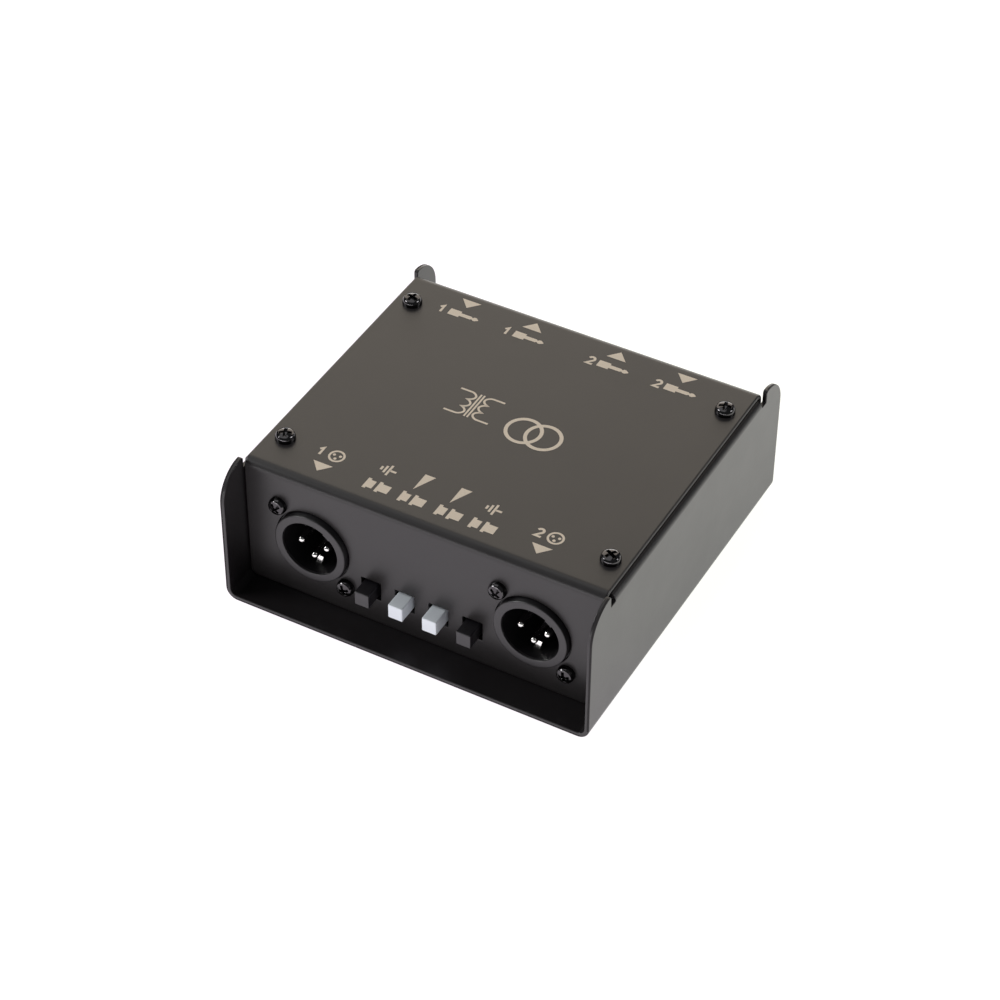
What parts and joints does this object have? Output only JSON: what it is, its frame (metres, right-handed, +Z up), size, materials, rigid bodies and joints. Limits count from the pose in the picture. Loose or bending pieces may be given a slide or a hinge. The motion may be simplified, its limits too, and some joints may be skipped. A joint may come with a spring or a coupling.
{
  "type": "direct injection box",
  "caption": "Stereo passive direct injection box: folded steel case with guarding cheeks, male output sockets and push switches in front, plug jacks behind.",
  "frame": {"origin": "middle of the soles of the feet, under the middle of the case", "axes": "+Z up; the output sockets and push switches face -Y and the jacks face +Y; +X is to the right seen from the front"},
  "size_m": [0.127, 0.129, 0.0537],
  "materials": {
    "tray_paint": "satin fine powder coat, near black",
    "cover_paint": "satin warm dark grey coat",
    "black_screw": "glossy black oxide",
    "zinc": "zinc plated",
    "foot_rubber": "matt",
    "socket_plastic": "satin moulded",
    "contact_silver": "polished plating",
    "cap_black": "satin moulded",
    "cap_white": "satin moulded",
    "stem_white": "moulded",
    "switch_plastic": "moulded",
    "tin": "tinned",
    "jack_plastic": "moulded",
    "nut_black": "black plated",
    "board_green": "solder mask",
    "core_steel": "laminated edges",
    "bobbin_nylon": "natural nylon",
    "winding_tape": "taped winding",
    "resistor_body": "lacquer",
    "capacitor_body": "moulded",
    "print_ink": "beige screen print"
  },
  "bodies": {
    "case": {"base_tray": "tray_paint", "cover": "cover_paint", "cover_screws": "black_screw", "clinch_nuts": "zinc", "rubber_feet": "foot_rubber", "output_socket_left": "socket_plastic", "output_socket_right": "socket_plastic", "socket_pins_left": "contact_silver", "socket_pins_right": "contact_silver", "earth_spring_left": "contact_silver", "earth_spring_right": "contact_silver", "socket_screws": "black_screw", "lift_switch_left": "switch_plastic", "pad_switch_left": "switch_plastic", "pad_switch_right": "switch_plastic", "lift_switch_right": "switch_plastic", "switch_terminals": "tin", "input_jack_left": "jack_plastic", "link_jack_left": "jack_plastic", "link_jack_right": "jack_plastic", "input_jack_right": "jack_plastic", "jack_contacts": "tin", "jack_washers": "nut_black", "jack_nuts": "nut_black", "circuit_board": "board_green", "standoffs": "zinc", "board_screws": "zinc", "transformer_core_left": "core_steel", "transformer_core_right": "core_steel", "transformer_bobbin_left": "bobbin_nylon", "transformer_bobbin_right": "bobbin_nylon", "transformer_winding_left": "winding_tape", "transformer_winding_right": "winding_tape", "transformer_straps": "zinc", "transformer_pins": "tin", "resistors": "resistor_body", "film_capacitors": "capacitor_body"},
    "lift_button_left": {"lift_cap_left": "cap_black", "lift_plunger_left": "stem_white"},
    "pad_button_left": {"pad_cap_left": "cap_white", "pad_plunger_left": "stem_white"},
    "pad_button_right": {"pad_cap_right": "cap_white", "pad_plunger_right": "stem_white"},
    "lift_button_right": {"lift_cap_right": "cap_black", "lift_plunger_right": "stem_white"}
  },
  "joints": [
    {"name": "lift_press_left", "type": "slide", "parent": "case", "child": "lift_button_left", "axis": [0, 1, 0], "range_m": [0, 0.0028], "stiffness_N_per_m": 250, "springref_m": -0.003},
    {"name": "pad_press_left", "type": "slide", "parent": "case", "child": "pad_button_left", "axis": [0, 1, 0], "range_m": [0, 0.0028], "stiffness_N_per_m": 250, "springref_m": -0.003},
    {"name": "pad_press_right", "type": "slide", "parent": "case", "child": "pad_button_right", "axis": [0, 1, 0], "range_m": [0, 0.0028], "stiffness_N_per_m": 250, "springref_m": -0.003},
    {"name": "lift_press_right", "type": "slide", "parent": "case", "child": "lift_button_right", "axis": [0, 1, 0], "range_m": [0, 0.0028], "stiffness_N_per_m": 250, "springref_m": -0.003}
  ]
}
